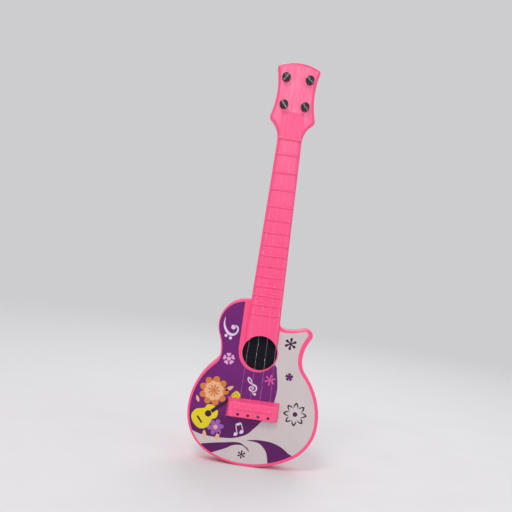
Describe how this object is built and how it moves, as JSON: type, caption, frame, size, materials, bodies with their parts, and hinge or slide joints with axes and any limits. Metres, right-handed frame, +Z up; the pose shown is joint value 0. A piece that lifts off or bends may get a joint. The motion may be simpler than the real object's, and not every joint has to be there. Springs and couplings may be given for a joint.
{
  "type": "toy guitar",
  "caption": "Small moulded toy guitar with a single cutaway, printed face sheet, nylon strings and tuning pegs that turn.",
  "frame": {"origin": "on the flat back face of the body, straight behind the centre of the sound hole", "axes": "+Z up along the neck to the headstock, -Y out of the face with the strings, +Y out of the flat back, +X to the cutaway side, on the right seen from the front"},
  "size_m": [0.0917, 0.0263, 0.2851],
  "materials": {
    "pink_plastic": "glossy moulded pink",
    "face_print": "glossy printed film, purple and white",
    "black_card": "matt black",
    "black_plastic": "glossy black",
    "nylon": "clear monofilament",
    "screw_steel": "zinc plated"
  },
  "bodies": {
    "guitar": {"front_shell": "pink_plastic", "back_shell": "pink_plastic", "bridge": "pink_plastic", "face_label": "face_print", "soundhole_disc": "black_card", "body_screws": "screw_steel", "neck_screws": "screw_steel", "bridge_screws": "screw_steel", "string_1": "nylon", "string_2": "nylon", "string_3": "nylon", "string_4": "nylon"},
    "peg_1": {"tuning_key_1": "black_plastic", "string_post_1": "black_plastic", "string_winding_1": "nylon"},
    "peg_2": {"tuning_key_2": "black_plastic", "string_post_2": "black_plastic", "string_winding_2": "nylon"},
    "peg_3": {"tuning_key_3": "black_plastic", "string_post_3": "black_plastic", "string_winding_3": "nylon"},
    "peg_4": {"tuning_key_4": "black_plastic", "string_post_4": "black_plastic", "string_winding_4": "nylon"}
  },
  "joints": [
    {"name": "peg_1_turn", "type": "hinge", "parent": "guitar", "child": "peg_1", "pos_m": [-0.0075, -0.0155, 0.1745], "axis": [0, -1, 0], "continuous": true},
    {"name": "peg_2_turn", "type": "hinge", "parent": "guitar", "child": "peg_2", "pos_m": [-0.0083, -0.0155, 0.1935], "axis": [0, -1, 0], "continuous": true},
    {"name": "peg_3_turn", "type": "hinge", "parent": "guitar", "child": "peg_3", "pos_m": [0.0083, -0.0155, 0.1935], "axis": [0, -1, 0], "continuous": true},
    {"name": "peg_4_turn", "type": "hinge", "parent": "guitar", "child": "peg_4", "pos_m": [0.0075, -0.0155, 0.1745], "axis": [0, -1, 0], "continuous": true}
  ]
}
